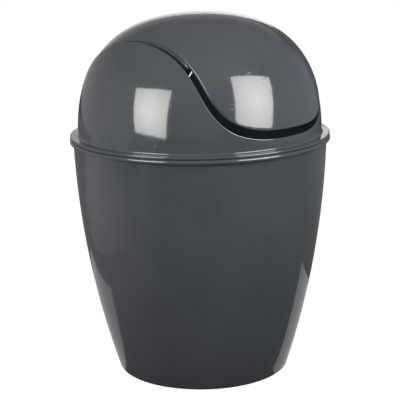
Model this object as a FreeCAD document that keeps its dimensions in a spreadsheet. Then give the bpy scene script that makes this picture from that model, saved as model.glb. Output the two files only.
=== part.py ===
"""Swing-top kitchen bin: a curved bucket, a lift-off domed hood and a two-way flap on two pivot pins.

Millimetres, +Z up. The origin is the centre of the foot. The flap's axis lies along X, and -Y is the front.
The hood is drawn from the rim line, the plane where it sits on the bucket, and the flap from its own axis.
"""
import FreeCAD, Part
import math
import os
import Sketcher

# Driving dimensions in millimetres. Shares have no unit, and flap_tilt is in degrees.
SIZES = {
    # Bucket
    "bucket_height": 239.0,
    "base_radius": 86.2,
    "mouth_radius": 126.5,
    "side_arc_radius": 845.0,
    "bucket_wall": 2.0,
    "floor_thickness": 2.2,
    "floor_corner_radius": 3.0,
    "foot_recess": 2.5,
    "foot_width": 6.0,
    "foot_edge_radius": 2.5,
    # Hooked rim of the bucket
    "rim_overhang": 3.4,
    "rim_depth": 4.2,
    "rim_web": 1.8,
    "rim_lip": 1.5,
    "rim_edge_radius": 1.0,
    # Hood: flange, skirt and dome
    "flange_setback": 0.2,
    "flange_width": 8.0,
    "flange_thickness": 3.2,
    "flange_edge_radius": 1.1,
    "flange_fillet_radius": 2.2,
    "skirt_clearance": 0.6,
    "skirt_depth": 14.0,
    "hood_wall": 2.0,
    "dome_rise": 119.6,
    "dome_wall_share": 0.639,
    "dome_crown_share": 0.702,
    # The flap's axis, as a share of the dome's half section from the flange up, and the ear beside it
    "pivot_share": 0.4685,
    "ear_thickness": 14.5,
    # Slot that the flap closes, seen from the front
    "slot_bottom": 13.2,
    "slot_corner_rise": 51.8,
    "slot_bottom_share": 0.55,
    "slot_side_share": 0.99,
    "slot_draft_share": 0.065,
    # Flap
    "flap_gap": 4.5,
    "flap_inset": 0.6,
    "flap_wall": 2.0,
    "flap_tilt": 1.7,
    "cheek_setback": 0.6,
    "cheek_thickness": 2.2,
    "cheek_drop": 16.0,
    "cheek_half_length": 57.0,
    "cheek_clearance": 0.5,
    # Pivot pins and the bosses that hold them
    "pin_radius": 3.0,
    "pin_cover": 13.0,
    "pin_press": 0.02,
    "pin_clearance": 0.06,
    "pin_tip_chamfer": 0.8,
    "pin_head_overhang": 2.5,
    "pin_head_thickness": 2.5,
    "pin_head_edge": 0.8,
    "pin_head_clearance": 0.3,
    "boss_wall": 4.0,
    "bore_relief": 1.0,
    # One overrun serves every cut
    "overrun": 5.0,
}

ORIGIN = -1
START = 1
END = 2
CENTRE = 3
FULL_TURN = 360
HALF_TURN = 180
QUARTER_TURN = 90
SAME_PLACE = 1e-4


class Size:
    """A size that carries its number, for drawing, and its spreadsheet expression, for binding."""

    def __init__(self, value, expression):
        self.value = value
        self.expression = expression

    def __add__(self, other):
        return Size(self.value + other.value, f"({self.expression} + {other.expression})")

    def __sub__(self, other):
        return Size(self.value - other.value, f"({self.expression} - {other.expression})")

    def __mul__(self, other):
        return Size(self.value * other.value, f"({self.expression} * {other.expression})")

    def __neg__(self):
        return Size(-self.value, f"(-{self.expression})")

    def doubled(self):
        return self + self

    def halved(self):
        return Size(self.value / 2, f"({self.expression} / 2)")


doc = FreeCAD.newDocument("swing_top_bin")
sheet = doc.addObject("Spreadsheet::Sheet", "sizes")
for row, (alias, number) in enumerate(SIZES.items(), start=1):
    sheet.set(f"A{row}", alias)
    sheet.set(f"B{row}", str(number))
    sheet.setAlias(f"B{row}", alias)
doc.recompute()

d = {alias: Size(sheet.get(alias), f"sizes.{alias}") for alias in SIZES}
ZERO = Size(0.0, "0")
ONE = Size(1.0, "1")
THREE = Size(3.0, "3")


def dome_corners(inset, lift):
    """The four poles of the dome's half section, from the flange's top to the crown, at an inset."""
    reach = dome_radius - inset
    rise = d["dome_rise"] - inset
    foot = d["flange_thickness"] + lift
    return [
        (reach, foot),
        (reach, foot + rise * d["dome_wall_share"]),
        (reach * d["dome_crown_share"], foot + rise),
        (ZERO, foot + rise),
    ]


def along_curve(poles, share):
    """One coordinate of the point that lies a share of the way along a cubic curve."""
    rest = ONE - share
    near = rest * rest * (rest * poles[0] + THREE * share * poles[1])
    far = share * share * (THREE * rest * poles[2] + share * poles[3])
    return near + far


# Reaches from the bin's middle line and heights above the rim line that several pieces share.
rim_radius = d["mouth_radius"] + d["rim_overhang"]
flange_radius = rim_radius - d["flange_setback"]
dome_radius = flange_radius - d["flange_width"]
crown_height = d["flange_thickness"] + d["dome_rise"]
ear_reach = along_curve([pole[0] for pole in dome_corners(ZERO, ZERO)], d["pivot_share"])
pivot_height = along_curve([pole[1] for pole in dome_corners(ZERO, ZERO)], d["pivot_share"])
axis_height = d["bucket_height"] + pivot_height
cheek_face = ear_reach - d["ear_thickness"] - d["flap_gap"] - d["cheek_setback"]
cheek_back = cheek_face - d["cheek_thickness"]
boss_face = cheek_face + d["cheek_clearance"]
pin_tip = ear_reach - d["pin_cover"]


def new_body(name):
    return doc.addObject("PartDesign::Body", name)


def new_sketch(body, name, plane):
    """An empty sketch on one of the body's own origin planes."""
    sketch = body.newObject("Sketcher::SketchObject", name)
    support = next(f for f in body.Origin.OriginFeatures if f.Role == plane)
    sketch.AttachmentSupport = (support, "")
    sketch.MapMode = "FlatFace"
    return sketch


def bind(sketch, constraint, size):
    """Add a constraint and let the spreadsheet drive its value."""
    index = sketch.addConstraint(constraint)
    sketch.setExpression(f"Constraints[{index}]", size.expression)


def place(sketch, geometry, point, corner):
    """Fix a point of the sketch at a corner given by two sizes, measured from the sketch's origin."""
    across, up = corner
    bind(sketch, Sketcher.Constraint("DistanceX", ORIGIN, START, geometry, point, across.value), across)
    bind(sketch, Sketcher.Constraint("DistanceY", ORIGIN, START, geometry, point, up.value), up)


def vector(corner):
    return FreeCAD.Vector(corner[0].value, corner[1].value, 0)


def draw_curve(sketch, corners):
    """One smooth cubic curve from the first to the last of four poles, with its two inner poles bound."""
    poles = [vector(corner) for corner in corners]
    curve = Part.BSplineCurve()
    curve.buildFromPolesMultsKnots(poles, [4, 4], [0, 1], False, 3)
    geometry = sketch.addGeometry(curve, False)
    sketch.exposeInternalGeometry(geometry)
    for pole in (1, 2):
        place(sketch, geometry + 1 + pole, CENTRE, corners[pole])
    return geometry


def draw_outline(sketch, corners, curved=None):
    """A closed outline through bound corners. curved maps a side's number to its curve's two inner poles."""
    curved = curved or {}
    sides = []
    for side, corner in enumerate(corners):
        following = corners[(side + 1) % len(corners)]
        if side in curved:
            sides.append(draw_curve(sketch, [corner, *curved[side], following]))
        else:
            sides.append(sketch.addGeometry(Part.LineSegment(vector(corner), vector(following)), False))
    for side, corner in enumerate(corners):
        sketch.addConstraint(Sketcher.Constraint("Coincident", sides[side - 1], END, sides[side], START))
        place(sketch, sides[side], START, corner)


def revolve(body, sketch, name, axis="V_Axis"):
    feature = body.newObject("PartDesign::Revolution", name)
    feature.Profile = sketch
    feature.ReferenceAxis = (sketch, [axis])
    feature.Angle = FULL_TURN
    doc.recompute()
    return feature


def round_edges(body, name, radius, places):
    """Fillet the round edges at the given reaches and heights. A reach of None takes any."""
    base = body.Tip
    chosen = []
    for number, edge in enumerate(base.Shape.Edges, start=1):
        if edge.Degenerated or not isinstance(edge.Curve, Part.Circle):
            continue
        for reach, height in places:
            same_height = abs(edge.Curve.Center.z - height.value) < SAME_PLACE
            same_reach = reach is None or abs(edge.Curve.Radius - reach.value) < SAME_PLACE
            if same_height and same_reach:
                chosen.append(f"Edge{number}")
    fillet = body.newObject("PartDesign::Fillet", name)
    fillet.Base = (base, chosen)
    fillet.setExpression("Radius", radius.expression)
    doc.recompute()


def cylinder_along_x(name, radius, start, length):
    """A cylinder on the flap's axis, which is the X axis of its own frame."""
    item = doc.addObject("Part::Cylinder", name)
    turn = FreeCAD.Rotation(FreeCAD.Vector(0, 1, 0), QUARTER_TURN)
    item.Placement = FreeCAD.Placement(FreeCAD.Vector(), turn)
    item.setExpression("Radius", radius.expression)
    item.setExpression("Height", length.expression)
    item.setExpression("Placement.Base.x", start.expression)
    return item


def combine(kind, name, base, tool):
    item = doc.addObject(kind, name)
    item.Base = base
    item.Tool = tool
    return item


def fuse(name, shapes):
    item = doc.addObject("Part::MultiFuse", name)
    item.Shapes = shapes
    return item


def dome_core(name, inset, lift):
    """The solid under the dome at some depth below its surface. It trims what ends inside a wall."""
    body = new_body(name)
    foot, wall_pole, crown_pole, crown = dome_corners(inset, lift)
    sketch = new_sketch(body, f"{name}_section", "XZ_Plane")
    draw_outline(sketch, [foot, crown, (ZERO, foot[1])], {0: [wall_pole, crown_pole]})
    revolve(body, sketch, f"{name}_turn")
    return body


def slot_outline(body, name, inset, lift):
    """The slot seen from the front, at an inset: a round bottom under two straight, drafted sides."""
    bottom = d["slot_bottom"] + inset + lift
    shoulder = d["slot_bottom"] + d["slot_corner_rise"] + lift
    top = crown_height + d["overrun"] + lift
    beside_axis = ear_reach - d["ear_thickness"] - inset
    axis = pivot_height + lift
    half = beside_axis - (axis - shoulder) * d["slot_draft_share"]
    top_half = beside_axis + (top - axis) * d["slot_draft_share"]
    drop = (shoulder - bottom) * d["slot_side_share"]
    low_half = half - drop * d["slot_draft_share"]
    level = half * d["slot_bottom_share"]
    sketch = new_sketch(body, name, "XZ_Plane")
    draw_outline(
        sketch,
        [(ZERO, bottom), (half, shoulder), (top_half, top), (-top_half, top), (-half, shoulder)],
        {
            0: [(level, bottom), (low_half, shoulder - drop)],
            4: [(-low_half, shoulder - drop), (-level, bottom)],
        },
    )
    return sketch


def make_bucket():
    """Thin wall on one long arc, a floor raised off a foot ring, and a rim hooked outwards and down."""
    body = new_body("bucket")
    sketch = new_sketch(body, "bucket_section", "XZ_Plane")
    height = d["bucket_height"]
    web_bottom = height - d["rim_web"]
    lip_bottom = height - d["rim_depth"]
    lip_reach = rim_radius - d["rim_lip"]
    floor_top = d["foot_recess"] + d["floor_thickness"]
    foot_reach = d["base_radius"] - d["foot_width"]
    wall_foot = (d["base_radius"], ZERO)
    wall_top = (d["mouth_radius"], web_bottom)
    inner_arc_radius = d["side_arc_radius"] - d["bucket_wall"]
    skirt_end = height - d["skirt_depth"]

    # The side's arc bulges outwards, so its centre lies beyond the bin's far side.
    chord = vector(wall_top) - vector(wall_foot)
    middle = vector(wall_foot) + chord / 2
    offset = math.sqrt(d["side_arc_radius"].value ** 2 - (chord.Length / 2) ** 2)
    centre = middle + FreeCAD.Vector(-chord.y, chord.x, 0).normalize() * offset

    def side_arc(radius, low, high):
        angles = [math.asin((end.value - centre.y) / radius.value) for end in (low, high)]
        circle = Part.Circle(centre, FreeCAD.Vector(0, 0, 1), radius.value)
        arc = sketch.addGeometry(Part.ArcOfCircle(circle, *angles), False)
        bind(sketch, Sketcher.Constraint("Radius", arc, radius.value), radius)
        return arc

    outer = side_arc(d["side_arc_radius"], ZERO, web_bottom)
    inner = side_arc(inner_arc_radius, floor_top, height)
    place(sketch, outer, START, wall_foot)
    place(sketch, outer, END, wall_top)
    sketch.addConstraint(Sketcher.Constraint("Coincident", inner, CENTRE, outer, CENTRE))
    for end, level in ((START, floor_top), (END, height)):
        bind(sketch, Sketcher.Constraint("DistanceY", ORIGIN, START, inner, end, level.value), level)

    # A point on the inner wall, level with the skirt's end, tells the hood how much room its skirt has.
    room = math.sqrt(inner_arc_radius.value ** 2 - (skirt_end.value - centre.y) ** 2) + centre.x
    mark = sketch.addGeometry(Part.Point(FreeCAD.Vector(room, skirt_end.value, 0)), True)
    sketch.addConstraint(Sketcher.Constraint("PointOnObject", mark, START, inner))
    bind(sketch, Sketcher.Constraint("DistanceY", ORIGIN, START, mark, START, skirt_end.value), skirt_end)
    reading = sketch.addConstraint(Sketcher.Constraint("DistanceX", ORIGIN, START, mark, START, room))
    sketch.setDriving(reading, False)
    sketch.renameConstraint(reading, "skirt_room")

    def straight_run(joint, corners, last):
        """Straight sides from one arc's end, through bound corners, to the other arc's end."""
        for corner in corners:
            line = sketch.addGeometry(Part.LineSegment(sketch.getPoint(*joint), vector(corner)), False)
            sketch.addConstraint(Sketcher.Constraint("Coincident", line, START, *joint))
            place(sketch, line, END, corner)
            joint = (line, END)
        line = sketch.addGeometry(Part.LineSegment(sketch.getPoint(*joint), sketch.getPoint(*last)), False)
        sketch.addConstraint(Sketcher.Constraint("Coincident", line, START, *joint))
        sketch.addConstraint(Sketcher.Constraint("Coincident", line, END, *last))

    rim_corners = [
        (lip_reach, web_bottom),
        (lip_reach, lip_bottom),
        (rim_radius, lip_bottom),
        (rim_radius, height),
    ]
    floor_corners = [
        (ZERO, floor_top),
        (ZERO, d["foot_recess"]),
        (foot_reach, d["foot_recess"]),
        (foot_reach, ZERO),
    ]
    straight_run((outer, END), rim_corners, (inner, END))
    straight_run((inner, START), floor_corners, (outer, START))
    revolve(body, sketch, "bucket_turn")
    round_edges(body, "foot_edge", d["foot_edge_radius"], [wall_foot])
    round_edges(body, "floor_corner", d["floor_corner_radius"], [(None, floor_top)])
    round_edges(body, "rim_edges", d["rim_edge_radius"], [(rim_radius, height), (rim_radius, lip_bottom)])
    return body


def make_hood(bucket):
    """Domed shell with a flange, a skirt in the bucket's mouth, the flap's slot and a boss in each ear."""
    room = bucket.Group[0].getDatum("skirt_room").Value
    skirt_reach = Size(room, "bucket_section.Constraints.skirt_room / 1 mm") - d["skirt_clearance"]
    skirt_inside = skirt_reach - d["hood_wall"]
    outside = dome_corners(ZERO, ZERO)
    inside = dome_corners(d["hood_wall"], ZERO)
    body = new_body("hood_shell")
    sketch = new_sketch(body, "hood_section", "XZ_Plane")
    corners = [
        outside[3],
        inside[3],
        inside[0],
        (skirt_inside, ZERO),
        (skirt_inside, -d["skirt_depth"]),
        (skirt_reach, -d["skirt_depth"]),
        (skirt_reach, ZERO),
        (flange_radius, ZERO),
        (flange_radius, d["flange_thickness"]),
        outside[0],
    ]
    draw_outline(sketch, corners, {1: [inside[2], inside[1]], 9: [outside[1], outside[2]]})
    revolve(body, sketch, "hood_turn")
    round_edges(body, "flange_edges", d["flange_edge_radius"], corners[7:9])
    round_edges(body, "flange_fillet", d["flange_fillet_radius"], [outside[0]])
    whole = body.Tip.Shape.Volume
    slot = body.newObject("PartDesign::Pocket", "slot")
    slot.Profile = slot_outline(body, "slot_front", ZERO, ZERO)
    slot.Type = "ThroughAll"
    slot.SideType = "Symmetric"
    doc.recompute()
    if slot.Shape.Volume >= whole:
        raise RuntimeError("the slot cuts nothing")

    # Each boss ends halfway into the ear's wall, so that it joins the ear without showing outside.
    core = dome_core("boss_limit", d["hood_wall"].halved(), ZERO)
    boss_radius = d["pin_radius"] + d["boss_wall"]
    boss_length = dome_radius - boss_face
    bore_radius = d["pin_radius"] - d["pin_press"]
    bore_end = pin_tip + d["bore_relief"]
    bore_mouth = boss_face - d["overrun"]
    sides = (("left", -dome_radius, -bore_end), ("right", boss_face, bore_mouth))
    bosses = []
    bores = []
    for side, boss_start, bore_start in sides:
        blank = cylinder_along_x(f"boss_blank_{side}", boss_radius, boss_start, boss_length)
        bore = cylinder_along_x(f"boss_bore_{side}", bore_radius, bore_start, bore_end - bore_mouth)
        for item in (blank, bore):
            item.setExpression("Placement.Base.z", pivot_height.expression)
        bosses.append(combine("Part::Common", f"boss_{side}", blank, core))
        bores.append(bore)
    solid = fuse("hood_with_bosses", [body, *bosses])
    hood = combine("Part::Cut", "hood", solid, fuse("boss_bores", bores))
    hood.setExpression("Placement.Base.z", d["bucket_height"].expression)
    doc.recompute()
    return hood


def make_flap():
    """The dome's middle strip with a flat cheek behind each ear, stored at the tilt at which it hangs."""
    lift = -pivot_height
    shell = new_body("flap_shell")
    sketch = new_sketch(shell, "flap_section", "XZ_Plane")
    outside = dome_corners(d["flap_inset"], lift)
    inside = dome_corners(d["flap_inset"] + d["flap_wall"], lift)
    curves = {1: [inside[2], inside[1]], 3: [outside[1], outside[2]]}
    draw_outline(sketch, [outside[3], inside[3], inside[0], outside[0]], curves)
    revolve(shell, sketch, "flap_turn")

    outline = new_body("flap_outline")
    prism = outline.newObject("PartDesign::Pad", "flap_prism")
    prism.Profile = slot_outline(outline, "flap_front", d["flap_gap"], lift)
    prism.SideType = "Symmetric"
    prism.setExpression("Length", (dome_radius + d["overrun"]).doubled().expression)
    doc.recompute()
    skin = combine("Part::Common", "flap_skin", shell, outline)

    # The cheeks reach halfway into the flap's wall. Their ends slope at 45 degrees, square to the wall there.
    core = dome_core("cheek_limit", d["flap_inset"] + d["flap_wall"].halved(), lift)
    cheek_rise = crown_height - pivot_height
    top_half_length = d["cheek_half_length"] + d["cheek_drop"] + cheek_rise
    cheek_corners = [
        (-d["cheek_half_length"], -d["cheek_drop"]),
        (d["cheek_half_length"], -d["cheek_drop"]),
        (top_half_length, cheek_rise),
        (-top_half_length, cheek_rise),
    ]
    cheeks = []
    for side, start in (("left", -cheek_face), ("right", cheek_back)):
        blank = new_body(f"cheek_blank_{side}")
        profile = new_sketch(blank, f"cheek_outline_{side}", "YZ_Plane")
        draw_outline(profile, cheek_corners)
        profile.setExpression("AttachmentOffset.Base.z", start.expression)
        plate = blank.newObject("PartDesign::Pad", f"cheek_plate_{side}")
        plate.Profile = profile
        plate.setExpression("Length", d["cheek_thickness"].expression)
        doc.recompute()
        cheeks.append(combine("Part::Common", f"cheek_{side}", blank, core))
    solid = fuse("flap_with_cheeks", [skin, *cheeks])
    bore_reach = cheek_face + d["overrun"]
    bore_radius = d["pin_radius"] + d["pin_clearance"]
    bore = cylinder_along_x("cheek_bore", bore_radius, -bore_reach, bore_reach.doubled())
    flap = combine("Part::Cut", "flap", solid, bore)
    tilt = FreeCAD.Rotation(FreeCAD.Vector(1, 0, 0), -d["flap_tilt"].value)
    flap.Placement = FreeCAD.Placement(FreeCAD.Vector(), tilt)
    flap.setExpression("Placement.Rotation.Angle", (-d["flap_tilt"]).expression)
    flap.setExpression("Placement.Base.z", axis_height.expression)
    doc.recompute()
    return flap


def make_pin(name, turn):
    """Headed pin: the head stays inside the cheek and the shank is pressed into the ear's boss."""
    body = new_body(name)
    sketch = new_sketch(body, f"{name}_section", "XZ_Plane")
    head_face = cheek_back - d["pin_head_clearance"]
    head_back = head_face - d["pin_head_thickness"]
    head_radius = d["pin_radius"] + d["pin_head_overhang"]
    corners = [
        (head_back, ZERO),
        (pin_tip, ZERO),
        (pin_tip, d["pin_radius"] - d["pin_tip_chamfer"]),
        (pin_tip - d["pin_tip_chamfer"], d["pin_radius"]),
        (head_face, d["pin_radius"]),
        (head_face, head_radius),
        (head_back + d["pin_head_edge"], head_radius),
        (head_back, head_radius - d["pin_head_edge"]),
    ]
    draw_outline(sketch, corners)
    revolve(body, sketch, f"{name}_turn", "H_Axis")
    body.Placement = FreeCAD.Placement(FreeCAD.Vector(), FreeCAD.Rotation(FreeCAD.Vector(0, 0, 1), turn))
    body.setExpression("Placement.Base.z", axis_height.expression)
    doc.recompute()
    return body


bucket = make_bucket()
subparts = [
    bucket,
    make_hood(bucket),
    make_flap(),
    make_pin("pivot_pin_left", HALF_TURN),
    make_pin("pivot_pin_right", 0),
]
doc.recompute()

for item in doc.Objects:
    if "Invalid" in item.State or "Error" in item.State:
        raise RuntimeError(f"{item.Name} failed: {item.State}")
for item in subparts:
    if item.Shape.isNull() or not item.Shape.isValid() or len(item.Shape.Solids) != 1:
        raise RuntimeError(f"{item.Label} is not one valid solid")

os.makedirs("parts", exist_ok=True)
for item in subparts:
    item.Shape.exportStep(f"parts/{item.Label}.step")
    print(f"{item.Label}: {item.Shape.Volume:.0f} mm3, centre {item.Shape.CenterOfGravity}")
print(f"The flap turns {axis_height.value:.3f} mm above the floor.")
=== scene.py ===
# %% [markdown]
# # A swing-top kitchen bin
# The bin is four kinds of moulded plastic piece: a bucket, a domed hood that sits on its rim, a flap that
# swings both ways between the hood's two ears, and two small pins that the flap hangs on. The CAD model
# already has all their shapes, but its meshes are loose triangles, and glossy plastic shows every facet of
# the surface in its reflections. So each piece is drawn again here from the same rules and sizes, with finer
# smooth faces and with the small rounded edges that a mould gives, and it stands for its CAD node.

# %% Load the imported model
import math

import bmesh
import bpy
import numpy as np
from mathutils import Matrix, Vector


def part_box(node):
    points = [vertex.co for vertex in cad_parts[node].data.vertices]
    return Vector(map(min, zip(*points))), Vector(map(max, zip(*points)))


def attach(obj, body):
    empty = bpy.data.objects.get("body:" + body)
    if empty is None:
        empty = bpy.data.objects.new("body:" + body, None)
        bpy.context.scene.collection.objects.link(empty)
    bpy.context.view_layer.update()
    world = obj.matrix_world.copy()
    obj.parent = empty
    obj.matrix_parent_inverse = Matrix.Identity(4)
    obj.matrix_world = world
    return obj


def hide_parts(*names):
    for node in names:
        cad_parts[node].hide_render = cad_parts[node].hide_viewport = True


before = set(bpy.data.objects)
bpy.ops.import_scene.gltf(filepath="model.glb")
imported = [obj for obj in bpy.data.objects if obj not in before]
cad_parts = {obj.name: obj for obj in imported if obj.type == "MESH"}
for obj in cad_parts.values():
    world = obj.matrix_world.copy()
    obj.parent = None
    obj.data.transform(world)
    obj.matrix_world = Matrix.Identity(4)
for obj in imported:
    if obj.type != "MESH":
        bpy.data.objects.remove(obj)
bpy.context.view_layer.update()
MM = 0.001

# %% [markdown]
# ## Two helpers for node trees
# Materials and Geometry Nodes are both trees of nodes. One small function adds a node, sets its properties
# and fills or links its inputs, so that a tree reads from top to bottom. Colours are written as the hex
# values that a screen shows. Blender's shaders want linear light, so one function turns one to the other.


# %% Node and colour helpers
def add_node(tree, kind, inputs=None, **settings):
    """Add a node. inputs maps an input's name or number to a value, or to the socket that feeds it."""
    made = tree.nodes.new(kind)
    for name, value in settings.items():
        setattr(made, name, value)
    for key, value in (inputs or {}).items():
        if isinstance(value, bpy.types.NodeSocket):
            tree.links.new(value, made.inputs[key])
        else:
            made.inputs[key].default_value = value
    return made


def linear(hex_colour):
    """Turn a hex colour as a screen shows it into the linear colour that shaders use."""
    channels = [int(hex_colour[i : i + 2], 16) / 255 for i in (1, 3, 5)]
    return [c / 12.92 if c <= 0.04045 else ((c + 0.055) / 1.055) ** 2.4 for c in channels] + [1.0]


print("Mid grey in linear light:", round(linear("#808080")[0], 3))

# %% [markdown]
# ## Gloss polypropylene
# The bin is injection moulded in polypropylene from a polished mould, coloured anthracite right through.
# To the eye that is a dark grey with a faint cloud of flow marks, sharp reflections of the lamps, and a
# surface that is not quite true: it ripples over a centimetre or so, so the edge of a reflected lamp
# wavers. Handling leaves a thin haze of hairline scuffs, which dull the gloss a little along their run. A
# few of them are deeper and catch the light.

# %% Gloss polypropylene: colour
FLOW_MARK = 45 * MM
FLOW_DARK = linear("#45484d")
FLOW_PALE = linear("#494c51")
plastic = bpy.data.materials.new("gloss_polypropylene")
plastic.use_nodes = True
tree = plastic.node_tree
tree.nodes.clear()
place = add_node(tree, "ShaderNodeTexCoord").outputs["Object"]
flow = add_node(
    tree,
    "ShaderNodeTexNoise",
    {"Vector": place, "Scale": 1 / FLOW_MARK, "Detail": 3.0, "Roughness": 0.55, "Distortion": 0.6},
)
flow_colour = add_node(tree, "ShaderNodeValToRGB", {"Fac": flow.outputs["Fac"]})
flow_colour.color_ramp.elements[0].position = 0.3
flow_colour.color_ramp.elements[0].color = FLOW_DARK
flow_colour.color_ramp.elements[1].position = 0.7
flow_colour.color_ramp.elements[1].color = FLOW_PALE
print("Flow marks are about", round(FLOW_MARK / MM), "mm across")

# %% Gloss polypropylene: scuffs
# Hairlines are too fine to show at their real width of a tenth of a millimetre, so they are drawn wider.
HAIRLINE_LENGTH = 60 * MM
HAIRLINE_WIDTH = 1.2 * MM
HAIRLINE_TURN = (0.5, 0.35, 0.7)
HAZE_STARTS = 0.55
HAZE_FULL = 0.8
DEEP_STARTS = 0.66
DEEP_FULL = 0.76
POLISHED = 0.075
HAZED = 0.15
run = add_node(
    tree,
    "ShaderNodeMapping",
    {
        "Vector": place,
        "Rotation": HAIRLINE_TURN,
        "Scale": (1 / HAIRLINE_LENGTH, 1 / HAIRLINE_WIDTH, 1 / HAIRLINE_WIDTH),
    },
)
hairlines = add_node(
    tree,
    "ShaderNodeTexNoise",
    {"Vector": run.outputs["Vector"], "Scale": 1.0, "Detail": 2.0, "Roughness": 0.5},
)
haze = {"From Min": HAZE_STARTS, "From Max": HAZE_FULL, "To Min": POLISHED, "To Max": HAZED}
gloss = add_node(tree, "ShaderNodeMapRange", {"Value": hairlines.outputs["Fac"], **haze})
deep = {"From Min": DEEP_STARTS, "From Max": DEEP_FULL}
scuff = add_node(tree, "ShaderNodeMapRange", {"Value": hairlines.outputs["Fac"], **deep})
print("Roughness runs from", POLISHED, "to", HAZED)

# %% Gloss polypropylene: ripple and shader
RIPPLE = 14 * MM
RIPPLE_DEPTH = 0.05 * MM
SCUFF_DEPTH = 0.05 * MM
POLYPROPYLENE_IOR = 1.5
POLYPROPYLENE_SHINE = 0.9
ripple = add_node(
    tree, "ShaderNodeTexNoise", {"Vector": place, "Scale": 1 / RIPPLE, "Detail": 1.0, "Roughness": 0.4}
)
waver = add_node(
    tree, "ShaderNodeBump", {"Height": ripple.outputs["Fac"], "Strength": 1.0, "Distance": RIPPLE_DEPTH}
)
scuffed = add_node(
    tree,
    "ShaderNodeBump",
    {
        "Height": scuff.outputs["Result"],
        "Strength": 1.0,
        "Distance": SCUFF_DEPTH,
        "Normal": waver.outputs["Normal"],
    },
)
surface = add_node(
    tree,
    "ShaderNodeBsdfPrincipled",
    {
        "Base Color": flow_colour.outputs["Color"],
        "Roughness": gloss.outputs["Result"],
        "Normal": scuffed.outputs["Normal"],
        "IOR": POLYPROPYLENE_IOR,
        "Specular IOR Level": POLYPROPYLENE_SHINE,
    },
)
add_node(tree, "ShaderNodeOutputMaterial", {"Surface": surface.outputs["BSDF"]})
print("Gloss polypropylene:", len(tree.nodes), "nodes")

# %% [markdown]
# ## Satin acetal for the pins
# Pivot pins are usually moulded in acetal, a harder plastic that slides well against polypropylene. It is
# satin rather than glossy, because the mould for a hidden pin is left as it was machined: fine rings run
# round the shank.

# %% Satin acetal
# Real tool marks are far finer. They are drawn nearly four millimetres apart, so that they show.
RING_PITCH = 3.77 * MM
PITCH_AT_SCALE_ONE = 2 * math.pi / 20
SATIN_SMOOTH = 0.38
SATIN_ROUGH = 0.48
ACETAL_IOR = 1.48
acetal = bpy.data.materials.new("satin_acetal")
acetal.use_nodes = True
tree = acetal.node_tree
tree.nodes.clear()
place = add_node(tree, "ShaderNodeTexCoord").outputs["Object"]
rings = add_node(
    tree,
    "ShaderNodeTexWave",
    {"Vector": place, "Scale": PITCH_AT_SCALE_ONE / RING_PITCH, "Distortion": 0.4, "Detail": 1.0},
    wave_type="BANDS",
    bands_direction="X",
)
satin = add_node(
    tree,
    "ShaderNodeMapRange",
    {"Value": rings.outputs["Fac"], "To Min": SATIN_SMOOTH, "To Max": SATIN_ROUGH},
)
shade = add_node(tree, "ShaderNodeValToRGB", {"Fac": rings.outputs["Fac"]})
shade.color_ramp.elements[0].color = linear("#3c3f42")
shade.color_ramp.elements[1].color = linear("#43464a")
surface = add_node(
    tree,
    "ShaderNodeBsdfPrincipled",
    {"Base Color": shade.outputs["Color"], "Roughness": satin.outputs["Result"], "IOR": ACETAL_IOR},
)
add_node(tree, "ShaderNodeOutputMaterial", {"Surface": surface.outputs["BSDF"]})
print("Satin acetal:", len(tree.nodes), "nodes")

# %% [markdown]
# ## Turning a section
# The bucket and the pins are round, so half a section says all about them, as on a lathe. Blender's Screw
# modifier could turn the section, but it can't round the corners first. A Geometry Nodes tree does both:
# Fillet Curve rounds each corner by its own radius, Curve to Mesh carries the section round a circle, and
# the points that meet on the middle line are welded, which closes the poles.


# %% The turning tree
def turning_tree():
    """The tree that rounds a half section and turns it about Z."""
    made = bpy.data.node_groups.new("turn_a_section", "GeometryNodeTree")
    sockets = made.interface
    sockets.new_socket("Section", in_out="INPUT", socket_type="NodeSocketGeometry")
    sockets.new_socket("Turning radius", in_out="INPUT", socket_type="NodeSocketFloat")
    sockets.new_socket("Steps round", in_out="INPUT", socket_type="NodeSocketInt")
    sockets.new_socket("Steps in a corner", in_out="INPUT", socket_type="NodeSocketInt")
    sockets.new_socket("Weld distance", in_out="INPUT", socket_type="NodeSocketFloat")
    sockets.new_socket("Plastic", in_out="INPUT", socket_type="NodeSocketMaterial")
    sockets.new_socket("Piece", in_out="OUTPUT", socket_type="NodeSocketGeometry")
    given = add_node(made, "NodeGroupInput").outputs
    spline = add_node(made, "GeometryNodeMeshToCurve", {"Mesh": given["Section"]})
    radius = add_node(made, "GeometryNodeInputNamedAttribute", {"Name": "corner_radius"}, data_type="FLOAT")
    rounded = add_node(
        made,
        "GeometryNodeFilletCurve",
        {
            "Curve": spline.outputs["Curve"],
            "Count": given["Steps in a corner"],
            "Radius": radius.outputs["Attribute"],
            "Limit Radius": True,
        },
        mode="POLY",
    )
    circle = add_node(
        made,
        "GeometryNodeCurvePrimitiveCircle",
        {"Resolution": given["Steps round"], "Radius": given["Turning radius"]},
        mode="RADIUS",
    )
    turned = add_node(
        made,
        "GeometryNodeCurveToMesh",
        {"Curve": circle.outputs["Curve"], "Profile Curve": rounded.outputs["Curve"]},
    )
    welded = add_node(
        made,
        "GeometryNodeMergeByDistance",
        {"Geometry": turned.outputs["Mesh"], "Distance": given["Weld distance"]},
    )
    plain = add_node(made, "GeometryNodeRealizeInstances", {"Geometry": welded.outputs["Geometry"]})
    coated = add_node(
        made,
        "GeometryNodeSetMaterial",
        {"Geometry": plain.outputs["Geometry"], "Material": given["Plastic"]},
    )
    add_node(made, "NodeGroupOutput", {"Piece": coated.outputs["Geometry"]})
    return made


TURNING = turning_tree()
print("Turning tree:", len(TURNING.nodes), "nodes")

# %% Helpers that finish a mesh, turn a section and show a piece
SHARP_CORNER = math.radians(38)
WELD = 0.001 * MM
CORNER_STEPS = 5


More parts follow.
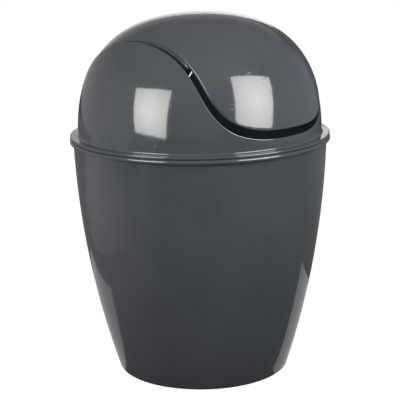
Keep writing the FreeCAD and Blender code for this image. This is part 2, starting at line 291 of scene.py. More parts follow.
def finish_mesh(mesh):
    """Weld, point the faces outwards, and shade smoothly up to the corners that stay sharp."""
    work = bmesh.new()
    work.from_mesh(mesh)
    bmesh.ops.remove_doubles(work, verts=work.verts, dist=WELD)
    bmesh.ops.recalc_face_normals(work, faces=work.faces)
    open_edges = sum(1 for edge in work.edges if not edge.is_manifold)
    work.to_mesh(mesh)
    work.free()
    mesh.shade_smooth()
    mesh.set_sharp_from_angle(angle=SHARP_CORNER)
    print(f"{mesh.name}: {len(mesh.polygons)} faces, {open_edges} open edges")


def turn(name, section, turning_radius, steps_round, coat):
    """Turn a half section about Z. section lists a reach, a height and a corner radius, in millimetres."""
    mesh = bpy.data.meshes.new(f"{name}_section")
    # The section's own second axis points down once it is carried round the circle.
    points = [((reach - turning_radius) * MM, -height * MM, 0) for reach, height, _ in section]
    mesh.from_pydata(points, [(i, i + 1) for i in range(len(points) - 1)], [])
    radii = mesh.attributes.new("corner_radius", "FLOAT", "POINT")
    radii.data.foreach_set("value", [corner * MM for _, _, corner in section])
    holder = bpy.data.objects.new(f"{name}_holder", mesh)
    bpy.context.scene.collection.objects.link(holder)
    modifier = holder.modifiers.new("turning", "NODES")
    modifier.node_group = TURNING
    values = {
        "Turning radius": turning_radius * MM,
        "Steps round": steps_round,
        "Steps in a corner": CORNER_STEPS,
        "Weld distance": WELD,
        "Plastic": coat,
    }
    for item in TURNING.interface.items_tree:
        if item.name in values:
            modifier[item.identifier] = values[item.name]
    graph = bpy.context.evaluated_depsgraph_get()
    turned = bpy.data.meshes.new_from_object(holder.evaluated_get(graph))
    bpy.data.objects.remove(holder)
    turned.name = name
    finish_mesh(turned)
    return turned


def show(name, mesh):
    """Put a finished mesh in the scene as a piece of its own."""
    piece = bpy.data.objects.new(name, mesh)
    bpy.context.scene.collection.objects.link(piece)
    return piece


print("Corners stay sharp from", round(math.degrees(SHARP_CORNER)), "degrees on")

# %% [markdown]
# ## The bucket
# Its side is one long arc from the foot to the mouth, the rule that gives the bin its stance. The wall is
# two millimetres thick. At the mouth it turns outwards into a hooked bead that stiffens the rim, and at the
# bottom a narrow foot ring keeps the floor off the ground.

# %% The bucket's side
BUCKET_HEIGHT = 239.0
BASE_RADIUS = 86.2
MOUTH_RADIUS = 126.5
SIDE_ARC_RADIUS = 845.0
RIM_WEB = 1.8
foot_point = Vector((BASE_RADIUS, 0))
web_point = Vector((MOUTH_RADIUS, BUCKET_HEIGHT - RIM_WEB))
chord = web_point - foot_point
arc_centre = (foot_point + web_point) / 2 + chord.orthogonal().normalized() * math.sqrt(
    SIDE_ARC_RADIUS**2 - (chord.length / 2) ** 2
)


def side_reach(height, depth=0.0):
    """Reach of the bucket's side at a height, or of the arc that lies some depth inside it."""
    return arc_centre.x + math.sqrt((SIDE_ARC_RADIUS - depth) ** 2 - (height - arc_centre.y) ** 2)


print(f"Halfway up, the bucket's side reaches {side_reach(BUCKET_HEIGHT / 2):.2f} mm")

# %% The bucket's section and the piece
WALL = 2.0
FLOOR_TOP = 4.7
FLOOR_CORNER = 3.0
FOOT_RECESS = 2.5
FOOT_WIDTH = 6.0
FOOT_EDGE = 2.5
RIM_RADIUS = 129.9
RIM_DEPTH = 4.2
RIM_LIP = 1.5
RIM_EDGE = 1.5
BEAD_ROUND = 2.0
MOULD_EDGE = 0.4
STEPS_ROUND = 256
SIDE_STEPS = 41
TURNING_RADIUS = 100.0
inner_rise = np.linspace(FLOOR_TOP, BUCKET_HEIGHT, SIDE_STEPS)
outer_fall = np.linspace(BUCKET_HEIGHT - RIM_WEB, 0, SIDE_STEPS)
bucket_section = [(0, FLOOR_TOP, 0)]
bucket_section += [(side_reach(FLOOR_TOP, WALL), FLOOR_TOP, FLOOR_CORNER)]
bucket_section += [(side_reach(z, WALL), z, 0) for z in inner_rise[1:-1]]
bucket_section += [
    (side_reach(BUCKET_HEIGHT, WALL), BUCKET_HEIGHT, MOULD_EDGE),
    (RIM_RADIUS, BUCKET_HEIGHT, BEAD_ROUND),
    (RIM_RADIUS, BUCKET_HEIGHT - RIM_DEPTH, RIM_EDGE),
    (RIM_RADIUS - RIM_LIP, BUCKET_HEIGHT - RIM_DEPTH, 0),
    (RIM_RADIUS - RIM_LIP, BUCKET_HEIGHT - RIM_WEB, 0),
]
bucket_section += [(side_reach(z), z, 0) for z in outer_fall[:-1]]
bucket_section += [
    (BASE_RADIUS, 0, FOOT_EDGE),
    (BASE_RADIUS - FOOT_WIDTH, 0, MOULD_EDGE),
    (BASE_RADIUS - FOOT_WIDTH, FOOT_RECESS, MOULD_EDGE),
    (0, FOOT_RECESS, 0),
]
bucket_mesh = turn("bucket_moulding", bucket_section, TURNING_RADIUS, STEPS_ROUND, plastic)
bucket = show("bucket_moulding", bucket_mesh)
print("Bucket box:", [tuple(round(c, 4) for c in corner) for corner in bucket.bound_box][0::6])

# %% [markdown]
# ## The dome's rule and the slot's rule
# Hood and flap together make one dome. Its half section is a single cubic curve that leaves the flange
# upright and reaches the crown level. Seen from the front, the slot between the hood's ears is a second
# rule: a round bottom under two straight sides that open a little upwards. Where that front view meets the
# dome, the edge sweeps down from each ear in an S, and at each bearing round the bin it has one height. So
# each piece can be drawn as columns of points, one column for each bearing, that end exactly on the edge.

# %% Dome curve
FLANGE_THICKNESS = 3.2
DOME_RADIUS = 121.7
DOME_RISE = 119.6
DOME_WALL_SHARE = 0.639
DOME_CROWN_SHARE = 0.702
PIVOT_SHARE = 0.4685


def on_dome(share, inset):
    """Reach and height, above the rim line, of a share of the way from the flange to the crown."""
    rest = 1 - share
    reach = (DOME_RADIUS - inset) * (rest**3 + 3 * rest**2 * share + 3 * rest * share**2 * DOME_CROWN_SHARE)
    lift = 3 * rest**2 * share * DOME_WALL_SHARE + 3 * rest * share**2 + share**3
    return reach, FLANGE_THICKNESS + (DOME_RISE - inset) * lift


EAR_REACH, PIVOT_HEIGHT = on_dome(PIVOT_SHARE, 0.0)
print(f"The flap's axis is {BUCKET_HEIGHT + PIVOT_HEIGHT:.3f} mm up")
print(f"Each ear is {EAR_REACH:.3f} mm from the middle at that height")

# %% Slot outline
EAR_THICKNESS = 14.5
SLOT_BOTTOM = 13.2
SLOT_CORNER_RISE = 51.8
SLOT_BOTTOM_SHARE = 0.55
SLOT_SIDE_SHARE = 0.99
SLOT_DRAFT = 0.065
CROWN_HEIGHT = FLANGE_THICKNESS + DOME_RISE
FINE_STEPS = 4001
FINE = np.linspace(0, 1, FINE_STEPS)


def slot_outline(inset):
    """Half widths and heights along one side of the slot, seen from the front, from its bottom up."""
    bottom = SLOT_BOTTOM + inset
    shoulder = SLOT_BOTTOM + SLOT_CORNER_RISE
    half = EAR_REACH - EAR_THICKNESS - inset - (PIVOT_HEIGHT - shoulder) * SLOT_DRAFT
    drop = (shoulder - bottom) * SLOT_SIDE_SHARE
    low_half = half - drop * SLOT_DRAFT
    rest = 1 - FINE
    across = 3 * rest**2 * FINE * half * SLOT_BOTTOM_SHARE + 3 * rest * FINE**2 * low_half + FINE**3 * half
    up = bottom + 3 * rest * FINE**2 * (shoulder - drop - bottom) + FINE**3 * (shoulder - bottom)
    straight = np.linspace(shoulder, CROWN_HEIGHT, FINE_STEPS)[1:]
    return np.append(across, half + (straight - shoulder) * SLOT_DRAFT), np.append(up, straight)


print(f"The slot is {2 * slot_outline(0.0)[0][-1]:.2f} mm wide at the crown")

# %% The slot's edge on each bearing
COLUMNS = 480
bearings = np.arange(COLUMNS) * 2 * math.pi / COLUMNS


def points_at(reach, height, bearing=bearings):
    """Points at a reach and height on each bearing. Bearing 0 is the front, which is -Y."""
    reach, height, bearing = np.broadcast_arrays(reach, height, bearing)
    return np.stack([reach * np.sin(bearing), -reach * np.cos(bearing), height], axis=-1)


def edge_shares(slot_inset, dome_inset):
    """How far up the dome the slot's edge lies on each bearing, as a share of the dome's curve."""
    across, up = slot_outline(slot_inset)
    reach, height = on_dome(FINE, dome_inset)
    ratio = across / np.interp(up, height, reach)
    meets = np.argmax(ratio >= 1)
    side = np.arcsin(np.abs(np.sin(bearings)))
    edge_height = np.interp(side, np.arcsin(ratio[:meets]), up[:meets])
    return np.interp(edge_height, height, FINE)


print(f"The edge is lowest {edge_shares(0.0, 0.0).min():.3f} of the way up the dome's curve")

# %% [markdown]
# ## Rounded edges along the slot
# A real moulding has no knife edge. The bright line that follows the slot in the light is its small round.
# The Bevel modifier struggles where two curved walls meet at a changing angle, so the round is drawn into
# the columns: the wall stops short of the edge, and a short curve leads over to the cut face.

# %% A wall's rounded edge
EDGE_STEPS = np.linspace(0, 1, 6)
SHARE_STEP = 1e-4
LEAST_LEAN = 0.35
OUTER_ROUND_LIMIT = 0.5
INNER_ROUND_LIMIT = 0.4


def ease_round(start, corner, end):
    """A short curve from start to end that is pulled to the corner, on each bearing."""
    step = EDGE_STEPS[None, :, None]
    pulled = 2 * step * (1 - step) * corner[:, None]
    return (1 - step) ** 2 * start[:, None] + pulled + step**2 * end[:, None]


def edge_columns(slot_inset, dome_inset, wall, outer_round, inner_round, towards):
    """Outer and inner stops of a wall and the rounded cut face between them. towards is -1 down, +1 up."""
    shares = [edge_shares(slot_inset, dome_inset), edge_shares(slot_inset, dome_inset + wall)]
    insets = [dome_inset, dome_inset + wall]
    edges = [points_at(*on_dome(share, inset)) for share, inset in zip(shares, insets)]
    stops = []
    for share, inset, edge, rounding in zip(shares, insets, edges, (outer_round, inner_round)):
        along = np.roll(edge, -1, axis=0) - np.roll(edge, 1, axis=0)
        level = np.stack([np.cos(bearings), np.sin(bearings), 0 * bearings], axis=-1)
        lean = np.abs((along * level).sum(1)) / np.linalg.norm(along, axis=1)
        ahead = points_at(*on_dome(share + towards * SHARE_STEP, inset))
        speed = np.linalg.norm(ahead - edge, axis=1) / SHARE_STEP
        stops.append(share + towards * rounding / np.maximum(lean, LEAST_LEAN) / speed)
    across = edges[1] - edges[0]
    width = np.linalg.norm(across, axis=1)[:, None]
    outer_in = edges[0] + across * np.minimum(outer_round / width, OUTER_ROUND_LIMIT)
    inner_out = edges[1] - across * np.minimum(inner_round / width, INNER_ROUND_LIMIT)
    outer_stop = points_at(*on_dome(stops[0], insets[0]))
    inner_stop = points_at(*on_dome(stops[1], insets[1]))
    face = [ease_round(outer_stop, edges[0], outer_in), ease_round(inner_out, edges[1], inner_stop)]
    return stops, np.concatenate(face, axis=1)


print("A rounded edge has", len(EDGE_STEPS), "points")


# %% Columns and skins
def wall_columns(start, stop, inset, rows):
    """Points on the dome from one share to another on each bearing, without the last one."""
    way = np.linspace(0, 1, rows, endpoint=False)[None, :]
    start = np.broadcast_to(start, bearings.shape)[:, None]
    stop = np.broadcast_to(stop, bearings.shape)[:, None]
    return points_at(*on_dome(start + (stop - start) * way, inset), bearings[:, None])


def ring_columns(profile):
    """The same reach and height on every bearing, for the parts of a piece that are plain rings."""
    reach, height = np.array(profile).T
    return points_at(reach[None, :], height[None, :], bearings[:, None])


def skin(columns, closed):
    """Quads between neighbouring columns, all the way round. A closed column joins its end to its start."""
    count, length = columns.shape[:2]
    faces = []
    for column in range(count):
        here = column * length
        beside = (column + 1) % count * length
        for low in range(length if closed else length - 1):
            high = (low + 1) % length
            faces.append((here + low, beside + low, beside + high, here + high))
    return columns.reshape(-1, 3), faces


def build(name, parts, coat):
    """One mesh from several skins, given in millimetres above the rim line or where they belong."""
    points = []
    faces = []
    for part_points, part_faces in parts:
        faces += [tuple(len(points) + corner for corner in face) for face in part_faces]
        points += (part_points * MM).tolist()
    mesh = bpy.data.meshes.new(name)
    mesh.from_pydata(points, [], faces)
    mesh.materials.append(coat)
    finish_mesh(mesh)
    return mesh


def arc(centre, radius, first, last, steps=7):
    """Points on a round in the half section, between two angles in degrees."""
    angles = np.radians(np.linspace(first, last, steps))
    return [(centre[0] + radius * math.cos(a), centre[1] + radius * math.sin(a)) for a in angles]


print("Each dome piece has", len(bearings), "columns")

# %% [markdown]
# ## The hood
# Each column of the hood is a closed loop: up the inside of the dome, over the slot's edge, down the
# outside into the fillet, round the flange, and down and up the skirt that drops into the bucket's mouth.
# Inside each ear a blind boss holds a pivot pin. It ends halfway into the ear's wall, so it doesn't show
# outside.

# %% The hood's shell
HOOD_WALL = 2.0
FLANGE_RADIUS = 129.7
FLANGE_EDGE = 1.1
FLANGE_UNDER_EDGE = 1.9
FLANGE_FILLET = 1.3
SKIRT_DEPTH = 14.0
SKIRT_CLEARANCE = 0.6
SLOT_ROUND = 0.8
OUTSIDE_ROWS = 48
INSIDE_ROWS = 24
EDGE_POINTS = 4
skirt_reach = side_reach(BUCKET_HEIGHT - SKIRT_DEPTH, WALL) - SKIRT_CLEARANCE
skirt_inside = skirt_reach - HOOD_WALL
reach, height = on_dome(FINE, 0.0)
fillet_share = np.interp(FLANGE_THICKNESS + FLANGE_FILLET, height, FINE)
fillet_centre = (DOME_RADIUS + FLANGE_FILLET, FLANGE_THICKNESS + FLANGE_FILLET)
flange_profile = arc(fillet_centre, FLANGE_FILLET, 180, 270)
flange_profile += arc((FLANGE_RADIUS - FLANGE_EDGE, FLANGE_THICKNESS - FLANGE_EDGE), FLANGE_EDGE, 90, 0)
flange_profile += arc((FLANGE_RADIUS - FLANGE_UNDER_EDGE, FLANGE_UNDER_EDGE), FLANGE_UNDER_EDGE, 0, -90)
flange_profile += [(skirt_reach, 0.0)]
skirt_edge = MOULD_EDGE - SKIRT_DEPTH
flange_profile += arc((skirt_reach - MOULD_EDGE, skirt_edge), MOULD_EDGE, 0, -90, EDGE_POINTS)
flange_profile += arc((skirt_inside + MOULD_EDGE, skirt_edge), MOULD_EDGE, -90, -180, EDGE_POINTS)
flange_profile += [(skirt_inside, 0.0)]
stops, cut_face = edge_columns(0.0, 0.0, HOOD_WALL, SLOT_ROUND, MOULD_EDGE, -1)
shell = np.concatenate(
    [
        cut_face[:, ::-1],
        wall_columns(stops[0], fillet_share, 0.0, OUTSIDE_ROWS)[:, 1:],
        ring_columns(flange_profile),
        wall_columns(0.0, stops[1], HOOD_WALL, INSIDE_ROWS),
    ],
    axis=1,
)
print(f"Hood skirt reaches {skirt_reach:.2f} mm, {SKIRT_CLEARANCE} mm inside the bucket's wall")

# %% The hood's bosses and the piece
FLAP_GAP = 4.5
CHEEK_SETBACK = 0.6
CHEEK_CLEARANCE = 0.5
BOSS_RADIUS = 7.0
BOSS_STEPS = 64
BORE_RADIUS = 2.98
BORE_ROOM = 1.0
PIN_TIP_DEPTH = 13.0
PIN_TIP = EAR_REACH - PIN_TIP_DEPTH
BORE_END = PIN_TIP + BORE_ROOM
CHEEK_FACE = EAR_REACH - EAR_THICKNESS - FLAP_GAP - CHEEK_SETBACK
BOSS_FACE = CHEEK_FACE + CHEEK_CLEARANCE


def boss(side):
    """A round boss on the flap's axis with a blind bore. side is -1 for the left ear, +1 for the right."""
    turns = np.linspace(0, 2 * math.pi, BOSS_STEPS, endpoint=False)
    reach, height = on_dome(FINE, HOOD_WALL / 2)

    def ring(radius, along):
        up = PIVOT_HEIGHT + radius * np.cos(turns)
        front = radius * np.sin(turns)
        if along is None:
            along = np.sqrt(np.interp(up, height, reach) ** 2 - front**2)
        return np.stack([side * np.broadcast_to(along, turns.shape), front, up], axis=-1)

    rings = [
        ring(0.0, BORE_END),
        ring(BORE_RADIUS, BORE_END),
        ring(BORE_RADIUS, BOSS_FACE + MOULD_EDGE),
        ring(BORE_RADIUS + MOULD_EDGE, BOSS_FACE),
        ring(BOSS_RADIUS - MOULD_EDGE, BOSS_FACE),
        ring(BOSS_RADIUS, BOSS_FACE + MOULD_EDGE),
        ring(BOSS_RADIUS, None),
        ring(0.0, None),
    ]
    return skin(np.stack(rings, axis=1), closed=False)


hood_mesh = build("hood_moulding", [skin(shell, closed=True), boss(-1), boss(1)], plastic)
hood_mesh.transform(Matrix.Translation((0, 0, BUCKET_HEIGHT * MM)))
hood = show("hood_moulding", hood_mesh)
print(f"The bosses end {BOSS_FACE:.2f} mm from the middle")

# %% [markdown]
# ## The flap
# The flap is the middle strip of the dome, a little inside the hood's surface and with a gap all round. Its
# columns run from the crown down the outside, over the rounded edge and back up the inside. Behind each ear
# hangs a flat cheek with the hole for the pin. The flap rests as it does on the bin: a touch off level.

# %% The flap's shell
FLAP_INSET = 0.6
FLAP_WALL = 2.0
FLAP_ROUND = 1.0
FLAP_OUTSIDE_ROWS = 64
FLAP_INSIDE_ROWS = 40
stops, cut_face = edge_columns(FLAP_GAP, FLAP_INSET, FLAP_WALL, FLAP_ROUND, MOULD_EDGE, 1)
shell = np.concatenate(
    [
        wall_columns(1.0, stops[0], FLAP_INSET, FLAP_OUTSIDE_ROWS),
        cut_face,
        wall_columns(1.0, stops[1], FLAP_INSET + FLAP_WALL, FLAP_INSIDE_ROWS)[:, ::-1],
    ],
    axis=1,
)
print("The flap's columns have", shell.shape[1], "points")

# %% The flap's cheeks and the piece
FLAP_TILT = math.radians(-1.7)
CHEEK_THICKNESS = 2.2
CHEEK_DROP = 16.0
CHEEK_HALF_LENGTH = 57.0
CHEEK_ROUND = 0.5
CHEEK_STEPS = 240
WALL_TRIES = 2000
HOLE_RADIUS = 3.06
CHEEK_BACK = CHEEK_FACE - CHEEK_THICKNESS


def cheek(side):
    """A flat plate round the pin's hole, out to its level foot, its sloping ends and the flap's wall."""
    corners = [math.atan2(-CHEEK_DROP, y) for y in (-CHEEK_HALF_LENGTH, CHEEK_HALF_LENGTH)]
    even = np.linspace(-math.pi, math.pi, CHEEK_STEPS, endpoint=False)
    turns = np.sort(np.append(even, corners))
    along = np.cos(turns)
    up = np.sin(turns)
    with np.errstate(divide="ignore"):
        to_foot = np.where(up < 0, -CHEEK_DROP / up, np.inf)
        slope = np.abs(along) - up
        to_end = np.where(slope > 0, (CHEEK_HALF_LENGTH + CHEEK_DROP) / slope, np.inf)
    reach, height = on_dome(FINE, FLAP_INSET + FLAP_WALL / 2)
    tries = np.linspace(0, DOME_RADIUS, WALL_TRIES)[:, None]
    level = PIVOT_HEIGHT + tries * up
    room = np.interp(level, height, reach, right=0.0)
    outside = np.hypot(tries * along, CHEEK_FACE) > room
    to_wall = tries[np.argmax(outside, axis=0), 0]
    length = np.minimum(np.minimum(to_foot, to_end), to_wall)

    def ring(radius, depth):
        front = radius * along
        return np.stack([np.full_like(turns, side * depth), front, PIVOT_HEIGHT + radius * up], axis=-1)

    slight = CHEEK_ROUND * (1 - math.sqrt(0.5))
    rings = [
        ring(HOLE_RADIUS, CHEEK_FACE),
        ring(length - CHEEK_ROUND, CHEEK_FACE),
        ring(length - slight, CHEEK_FACE - slight),
        ring(length, CHEEK_FACE - CHEEK_ROUND),
        ring(length, CHEEK_BACK + CHEEK_ROUND),
        ring(length - slight, CHEEK_BACK + slight),
        ring(length - CHEEK_ROUND, CHEEK_BACK),
        ring(HOLE_RADIUS, CHEEK_BACK),
    ]
    return skin(np.stack(rings, axis=1), closed=True)


flap_mesh = build("flap_moulding", [skin(shell, closed=False), cheek(-1), cheek(1)], plastic)
axis_height = (BUCKET_HEIGHT + PIVOT_HEIGHT) * MM
to_axis = Matrix.Translation((0, 0, -PIVOT_HEIGHT * MM))
tilt = Matrix.Rotation(FLAP_TILT, 4, "X")
flap_mesh.transform(Matrix.Translation((0, 0, axis_height)) @ tilt @ to_axis)
flap = show("flap_moulding", flap_mesh)
print(f"Flap hangs {math.degrees(FLAP_TILT):.1f} degrees off level about {axis_height:.4f} m")

# %% [markdown]
# ## The pivot pins
# Each pin has a head inside the cheek, a shank through the cheek's hole and a chamfered tip that is pressed
# into the boss. They are turned pieces too, so the same tree makes them, and then they are laid along X.

# %% Pins
PIN_RADIUS = 3.0
HEAD_PLAY = 0.3
HEAD_THICKNESS = 2.5
HEAD_OVERHANG = 2.5
HEAD_FACE = CHEEK_BACK - HEAD_PLAY
HEAD_BACK = HEAD_FACE - HEAD_THICKNESS
HEAD_RADIUS = PIN_RADIUS + HEAD_OVERHANG
HEAD_CHAMFER = 0.8
TIP_CHAMFER = 0.8
PIN_EDGE = 0.2
PIN_STEPS = 48
pin_section = [
    (0, HEAD_BACK, 0),
    (HEAD_RADIUS - HEAD_CHAMFER, HEAD_BACK, PIN_EDGE),
    (HEAD_RADIUS, HEAD_BACK + HEAD_CHAMFER, PIN_EDGE),
    (HEAD_RADIUS, HEAD_FACE, PIN_EDGE),
    (PIN_RADIUS, HEAD_FACE, 0),
    (PIN_RADIUS, PIN_TIP - TIP_CHAMFER, PIN_EDGE),
    (PIN_RADIUS - TIP_CHAMFER, PIN_TIP, PIN_EDGE),
    (0, PIN_TIP, 0),
]
pins = {}
for name, quarter in (("pivot_pin_left", -90), ("pivot_pin_right", 90)):
    pin_mesh = turn(f"{name}_turned", pin_section, PIN_RADIUS, PIN_STEPS, acetal)
    pin_mesh.transform(Matrix.Rotation(math.radians(quarter), 4, "Y"))
    pin_mesh.transform(Matrix.Translation((0, 0, axis_height)))
    pins[name] = show(f"{name}_turned", pin_mesh)
print("Pins lie between", round(HEAD_BACK, 2), "and", round(PIN_TIP, 2), "mm from the middle")

# %% [markdown]
# ## Which body each piece moves with
# Every piece stands for its CAD node and rides on that node's body: the pins go with the hood, because they
# are pressed into its ears, and the flap turns on them.

# %% Bodies
for piece, node, body, slot in (
    (bucket, "bucket", "bucket", "bucket_plastic"),
    (hood, "hood", "hood", "hood_plastic"),
    (flap, "flap", "flap", "flap_plastic"),
    (pins["pivot_pin_left"], "pivot_pin_left", "hood", "pin_plastic"),
    (pins["pivot_pin_right"], "pivot_pin_right", "hood", "pin_plastic"),
):
    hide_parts(node)
    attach(piece, body)
    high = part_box(node)[1]
    mine = [max(v.co[i] for v in piece.data.vertices) - high[i] for i in range(3)]
    print(f"{node}: the highest corner is off by", [round(m / MM, 3) for m in mine], "mm")

# %% [markdown]
# ## Camera
# The camera stands a little to the left of the bin's front corner and looks slightly down on it. A long
# lens from over a metre away keeps the bin's sides nearly parallel, as in a catalogue picture.

# %% Camera
VIEW_BEARING = math.radians(-45.0)
VIEW_RISE = math.radians(13.559)
VIEW_ROLL = math.radians(0.988)
VIEW_DISTANCE = 1.34305
LENS = 119.11
AIM_HEIGHT = 0.17123
AIM_RIGHT = -0.001
SENSOR_WIDTH = 36.0


def studio(right, back, up):
    """A point given as seen from the camera: metres to the right, away from the camera, and up."""
    return Matrix.Rotation(VIEW_BEARING, 4, "Z") @ Vector((right, back, up))


forward = studio(0, math.cos(VIEW_RISE), -math.sin(VIEW_RISE))
level_right = studio(1, 0, 0)
level_up = level_right.cross(forward)
right = level_right * math.cos(VIEW_ROLL) - level_up * math.sin(VIEW_ROLL)
up = level_right * math.sin(VIEW_ROLL) + level_up * math.cos(VIEW_ROLL)
stand = studio(AIM_RIGHT, 0, AIM_HEIGHT) - forward * VIEW_DISTANCE
camera = bpy.data.objects.new("camera", bpy.data.cameras.new("camera"))
camera.data.lens = LENS
camera.data.sensor_width = SENSOR_WIDTH
camera.matrix_world = Matrix.Translation(stand) @ Matrix((right, up, -forward)).transposed().to_4x4()
bpy.context.scene.collection.objects.link(camera)
bpy.context.scene.camera = camera
print("Camera stands at", [round(c, 4) for c in stand])

# %% [markdown]
# ## Floor and reflectors
# Gloss plastic is mostly a picture of what stands round it. A white sheet lies under and behind the bin and
# shows as a bright strip low on each side. A grey board and a grey wall on the left show as a pale band, and
# they fade towards the front, so the band has a soft edge. The wall on the right is cooler, and it goes
# dark far behind, which gives the dome its dark rim there. A white card behind draws the pale line along
# the crown and lights the right end of the flange. A grey card above it leads over to the room. To the
# camera the floor is white, and it keeps a trace of the bin's shadow. In the reflections it is quiet, and
# only a little paler on the left, or it would wash out the lower half of the bucket.


# %% Paint and sheets for the studio
MATTE = linear("#3c3c3c")


def stage_paint(name, glow, *fades, tint="#ffffff", glow_to_camera=1.0):
    """A matte paint that glows. Each fade is two points, and the glow that the paint has at the first."""
    made = bpy.data.materials.new(name)
    made.use_nodes = True
    tree = made.node_tree
    tree.nodes.clear()
    place = add_node(tree, "ShaderNodeTexCoord").outputs["Object"]
    for start, end, low in fades:
        run = end - start
        along = add_node(tree, "ShaderNodeVectorMath", {0: place, 1: run}, operation="DOT_PRODUCT")
        ends = {"From Min": start.dot(run), "From Max": end.dot(run), "To Min": low, "To Max": glow}
        grown = add_node(
            tree,
            "ShaderNodeMapRange",
            {"Value": along.outputs["Value"], **ends},
            interpolation_type="SMOOTHSTEP",
        )
        glow = grown.outputs["Result"]
    rays = add_node(tree, "ShaderNodeLightPath").outputs
    matte = add_node(tree, "ShaderNodeBsdfDiffuse", {"Color": MATTE})
    shown = {"To Min": glow, "To Max": glow_to_camera}
    strength = add_node(tree, "ShaderNodeMapRange", {"Value": rays["Is Camera Ray"], **shown})
    light = add_node(
        tree, "ShaderNodeEmission", {"Color": linear(tint), "Strength": strength.outputs["Result"]}
    )
    both = add_node(tree, "ShaderNodeAddShader", {0: matte.outputs["BSDF"], 1: light.outputs["Emission"]})
    add_node(tree, "ShaderNodeOutputMaterial", {"Surface": both.outputs["Shader"]})
    return made


def stage_sheet(name, corners, paint, seen=False):
    """A flat sheet of the studio through its corners, which isn't part of the bin."""
    mesh = bpy.data.meshes.new(name)
    mesh.from_pydata([tuple(corner) for corner in corners], [], [tuple(range(len(corners)))])
    mesh.materials.append(paint)
    sheet = show(name, mesh)
    sheet.visible_camera = seen
    print(f"{name}: a sheet with {len(corners)} corners")


print("Matte paint in linear light:", [round(c, 3) for c in MATTE[:3]])

# %% Floor
FLOOR_HALF = 8.0
FLOOR_DROP = -0.0003
FLOOR_GLOW = 0.17
FLOOR_TO_CAMERA = 0.985
floor_front = (studio(0, -0.1, 0), studio(0, 0.7, 0), 0.0)
floor_left = (studio(-0.258, 0.037, 0), studio(-0.018, -0.143, 0), 0.13)
floor_far = (studio(0.45, 1.5, 0), studio(0.2, 0.9, 0), 0.04)
floor_fades = (floor_front, floor_left, floor_far)
floor_paint = stage_paint("white_floor_paint", FLOOR_GLOW, *floor_fades, glow_to_camera=FLOOR_TO_CAMERA)
floor_plan = [(x * FLOOR_HALF, y * FLOOR_HALF) for x, y in ((-1, -1), (1, -1), (1, 1), (-1, 1))]
stage_sheet("floor", [studio(x, y, FLOOR_DROP) for x, y in floor_plan], floor_paint, seen=True)
print("The floor is", 2 * FLOOR_HALF, "m wide")

# %% Sheet and board on the floor
SHEET_LIFT = -0.0001
SHEET_GLOW = 0.48
BOARD_GLOW = 0.37
sheet_plan = ((-0.26, 0.024), (-0.089, -0.029), (0.081, -0.049), (0.318, 0.099), (0.2, 0.215), (-0.3, 0.3))
sheet_paint = stage_paint("white_sheet", SHEET_GLOW)
stage_sheet("sheet_behind", [studio(x, y, SHEET_LIFT) for x, y in sheet_plan], sheet_paint)

board_plan = (
    (-0.365, -0.2),
    (-0.7, -0.55),
    (-1.5, -0.75),
    (-1.5, 0.75),
    (-0.8, 0.6),
    (-0.45, 0.36),
    (-0.365, 0.2),
)
board_near = (studio(-0.36, 0, 0), studio(-0.62, 0, 0), 0.27)
board_front = (studio(0, -0.5, 0), studio(0, 0.05, 0), 0.05)
board_back = (studio(-0.45, 0.55, 0), studio(-0.6, 0.2, 0), 0.12)
board_paint = stage_paint("grey_board", BOARD_GLOW, board_near, board_front, board_back)
stage_sheet("board_left", [studio(x, y, SHEET_LIFT) for x, y in board_plan], board_paint)

# %% Walls
WALL_OUT = 1.5
WALL_TOP = 1.6
WALL_NEAR = -1.2
WALL_END = 4.5
LEFT_WALL_GLOW = 0.36
RIGHT_WALL_GLOW = 0.3
wall_plan = ((WALL_NEAR, 0.0), (WALL_END, 0.0), (WALL_END, WALL_TOP), (WALL_NEAR, WALL_TOP))
wall_front = (studio(0, WALL_NEAR, 0), studio(0, -0.5, 0), 0.12)
wall_top = (studio(0, 0, WALL_TOP), studio(0, 0, 0.4), 0.2)
wall_far = (studio(0, 2.9, 0), studio(0, 1.5, 0), 0.08)
left_paint = stage_paint("grey_wall", LEFT_WALL_GLOW, wall_front, wall_top)
right_paint = stage_paint("cool_grey_wall", RIGHT_WALL_GLOW, wall_front, wall_top, wall_far, tint="#e4f4ff")
stage_sheet("wall_left", [studio(-WALL_OUT, y, z) for y, z in wall_plan], left_paint)
stage_sheet("wall_right", [studio(WALL_OUT, y, z) for y, z in wall_plan], right_paint)

# %% Cards behind
CARD_BACK = 1.5
CARD_GLOW = 1.35
HAZE_GLOW = 0.4
card_plan = (
    (-0.62, 0.1),
    (0.22, 0.1),
    (0.26, 0.44),
    (0.37, 0.49),
    (0.35, 0.57),
    (0.23, 0.7),
    (-0.62, 0.66),
)
card_right = (studio(-0.5, 0, 0), studio(0.22, 0, 0), 0.6)
card_low = (studio(0, 0, 0.12), studio(0, 0, 0.52), 0.5)
card_paint = stage_paint("white_card", CARD_GLOW, card_right, card_low)
stage_sheet("card_behind", [studio(x, CARD_BACK, z) for x, z in card_plan], card_paint)

haze_plan = ((-0.9, 0.66), (0.12, 0.7), (1.0, 1.1), (1.0, 1.3), (-0.9, 1.3))
haze_fade = (studio(0, 0, 1.25), studio(0, 0, 0.6), 0.22)
haze_paint = stage_paint("grey_card", HAZE_GLOW, haze_fade)
stage_sheet("haze_behind", [studio(x, CARD_BACK, z) for x, z in haze_plan], haze_paint)

# %% [markdown]
# ## Soft boxes
# Two big soft boxes stand close in front, left and right, at the height of the dome. They are the two
# bright panes on hood and flap. Like real ones, they are brighter in the middle than along the frame.
# Because they are close, their light falls off towards the foot of the bucket. The thin walls let a little
# light through, so the inside is not quite black. A very faint lamp inside the bucket stands for that.

# %% Soft boxes
PANE = 8.2
PANE_MIDDLE = 0.1
PANE_CORNER = 0.7
CORNER_SHARE = 0.58
WARM_WHITE = linear("#fffefa")[:3]


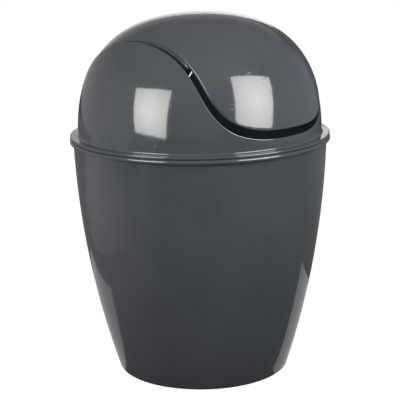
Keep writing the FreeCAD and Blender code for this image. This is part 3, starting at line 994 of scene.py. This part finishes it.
def soft_box(name, at, facing, roll, width, height):
    """A rectangular lamp. Its power is worked out from how bright its face looks, where 1 is white."""
    lamp = bpy.data.lights.new(name, "AREA")
    lamp.shape = "RECTANGLE"
    lamp.size = width
    lamp.size_y = height
    lamp.energy = PANE * math.pi * width * height
    lamp.color = WARM_WHITE
    lamp.use_nodes = True
    tree = lamp.node_tree
    tree.nodes.clear()
    spot = add_node(tree, "ShaderNodeNewGeometry").outputs["Parametric"]
    middle = add_node(tree, "ShaderNodeVectorMath", {0: spot, 1: (0.5, 0.5, 0.0)}, operation="DISTANCE")
    falls = {"From Min": PANE_MIDDLE, "From Max": PANE_CORNER, "To Min": 1.0, "To Max": CORNER_SHARE}
    strength = add_node(tree, "ShaderNodeMapRange", {"Value": middle.outputs["Value"], **falls})
    light = add_node(tree, "ShaderNodeEmission", {"Strength": strength.outputs["Result"]})
    add_node(tree, "ShaderNodeOutputLight", {"Surface": light.outputs["Emission"]})
    ahead = facing.normalized()
    level = ahead.cross(Vector((0, 0, 1))).normalized()
    upright = level.cross(ahead)
    across = level * math.cos(roll) + upright * math.sin(roll)
    up = upright * math.cos(roll) - level * math.sin(roll)
    box = bpy.data.objects.new(name, lamp)
    box.matrix_world = Matrix.Translation(at) @ Matrix((across, up, -ahead)).transposed().to_4x4()
    box.visible_camera = False
    bpy.context.scene.collection.objects.link(box)
    print(f"{name}: {width} by {height} m, {lamp.energy:.1f} W")


LEFT_ROLL = math.radians(-3.8)
LEFT_SIZE = (0.452, 0.452)
left_stand = studio(-0.524, -0.516, 0.43)
left_facing = studio(0.391, 0.79, -0.472)
soft_box("soft_box_left", left_stand, left_facing, LEFT_ROLL, *LEFT_SIZE)

RIGHT_ROLL = math.radians(-9.2)
RIGHT_SIZE = (0.5, 0.544)
right_stand = studio(0.55, -0.437, 0.502)
right_facing = studio(-0.581, 0.688, -0.435)
soft_box("soft_box_right", right_stand, right_facing, RIGHT_ROLL, *RIGHT_SIZE)

# %% Light through the walls
INSIDE_POWER = 0.09
INSIDE_SIZE = 0.05
INSIDE_HEIGHT = 0.2
inside = bpy.data.objects.new("light_through_walls", bpy.data.lights.new("light_through_walls", "POINT"))
inside.data.energy = INSIDE_POWER
inside.data.shadow_soft_size = INSIDE_SIZE
inside.location = (0, 0, INSIDE_HEIGHT)
inside.visible_camera = False
inside.visible_glossy = False
bpy.context.scene.collection.objects.link(inside)
print("Lamps:", [lamp.name for lamp in bpy.data.lights])

# %% [markdown]
# ## Surroundings
# The rest of the room is dim at eye level and lighter overhead, so the dome is lighter than the bucket. To
# the camera itself the surroundings are white.

# %% Surroundings
EYE_LEVEL = 0.12
OVERHEAD = 0.29
EYE_RISE = 0.1
OVERHEAD_RISE = 0.9
world = bpy.data.worlds.new("studio")
bpy.context.scene.world = world
world.use_nodes = True
tree = world.node_tree
tree.nodes.clear()
direction = add_node(tree, "ShaderNodeTexCoord").outputs["Generated"]
rise = add_node(tree, "ShaderNodeSeparateXYZ", {"Vector": direction}).outputs["Z"]
growth = {"From Min": EYE_RISE, "From Max": OVERHEAD_RISE, "To Min": EYE_LEVEL, "To Max": OVERHEAD}
room = add_node(tree, "ShaderNodeMapRange", {"Value": rise, **growth}, interpolation_type="SMOOTHSTEP")
rays = add_node(tree, "ShaderNodeLightPath").outputs
strength = add_node(
    tree,
    "ShaderNodeMapRange",
    {"Value": rays["Is Camera Ray"], "To Min": room.outputs["Result"], "To Max": 1.0},
)
backdrop = add_node(
    tree, "ShaderNodeBackground", {"Color": linear("#ffffff"), "Strength": strength.outputs["Result"]}
)
add_node(tree, "ShaderNodeOutputWorld", {"Surface": backdrop.outputs["Background"]})
bpy.context.scene.view_settings.view_transform = "Standard"
print("Surroundings:", EYE_LEVEL, "at eye level and", OVERHEAD, "overhead")
